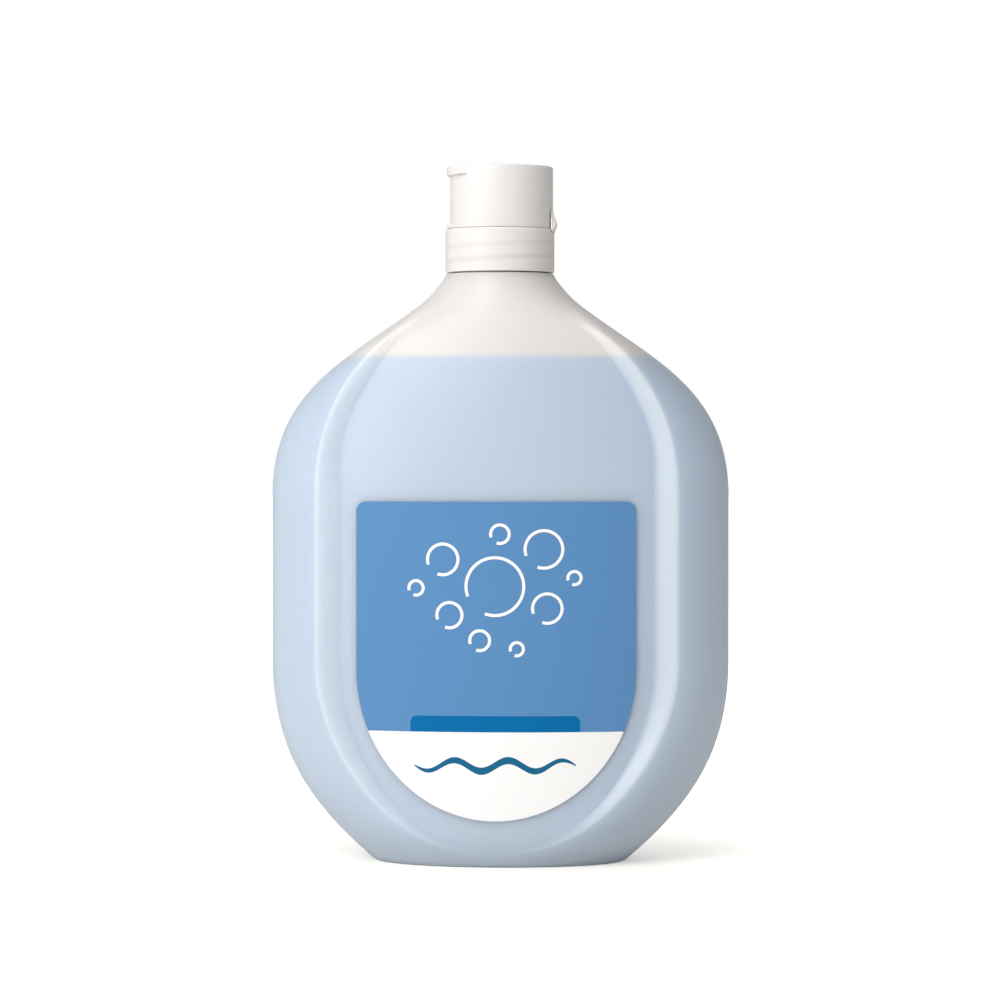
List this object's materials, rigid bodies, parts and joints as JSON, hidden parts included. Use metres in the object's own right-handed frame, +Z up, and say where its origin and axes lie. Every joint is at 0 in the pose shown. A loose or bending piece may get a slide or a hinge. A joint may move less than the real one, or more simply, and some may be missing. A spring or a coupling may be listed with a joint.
{
  "type": "foaming hand soap refill bottle",
  "caption": "Flat oval translucent refill bottle of liquid hand soap with a recessed label panel front and back and a flip-top screw cap.",
  "frame": {"origin": "middle of the bottle's base, on the surface it stands on", "axes": "+Z up through the neck and the cap, +X towards the lid's hinge along the wide side, front label facing -Y"},
  "size_m": [0.1386, 0.0591, 0.21],
  "materials": {
    "frosted_plastic": "translucent frosted",
    "liquid": "clear pale blue",
    "label_film": "satin",
    "blue_print": "satin",
    "tab_print": "satin",
    "wave_print": "satin",
    "seal_foam": "foam",
    "cap_plastic": "translucent"
  },
  "bodies": {
    "bottle": {"bottle": "frosted_plastic", "soap": "liquid", "front_label": "label_film", "front_label_blue_field": "blue_print", "front_label_tab": "tab_print", "front_label_wave": "wave_print", "back_label": "label_film"},
    "seal": {"cap_seal_ring": "seal_foam"},
    "cap": {"cap_base": "cap_plastic", "hinge_strap": "cap_plastic"},
    "lid": {"cap_lid": "cap_plastic"}
  },
  "joints": [
    {"name": "cap_rise", "type": "slide", "parent": "bottle", "child": "seal", "axis": [0, 0, 1], "range_m": [0, 0.00636]},
    {"name": "cap_turn", "type": "hinge", "parent": "seal", "child": "cap", "pos_m": [0, 0, 0.18], "axis": [0, 0, 1], "range_deg": [0, 540]},
    {"name": "lid_flip", "type": "hinge", "parent": "cap", "child": "lid", "pos_m": [0.0169, 0, 0.1928], "axis": [0, 1, 0], "range_deg": [0, 150], "deforming": ["hinge_strap"]}
  ],
  "couplings": [
    {"joint": "cap_rise", "follows": "cap_turn", "m_per_rad": 0.0006737}
  ]
}
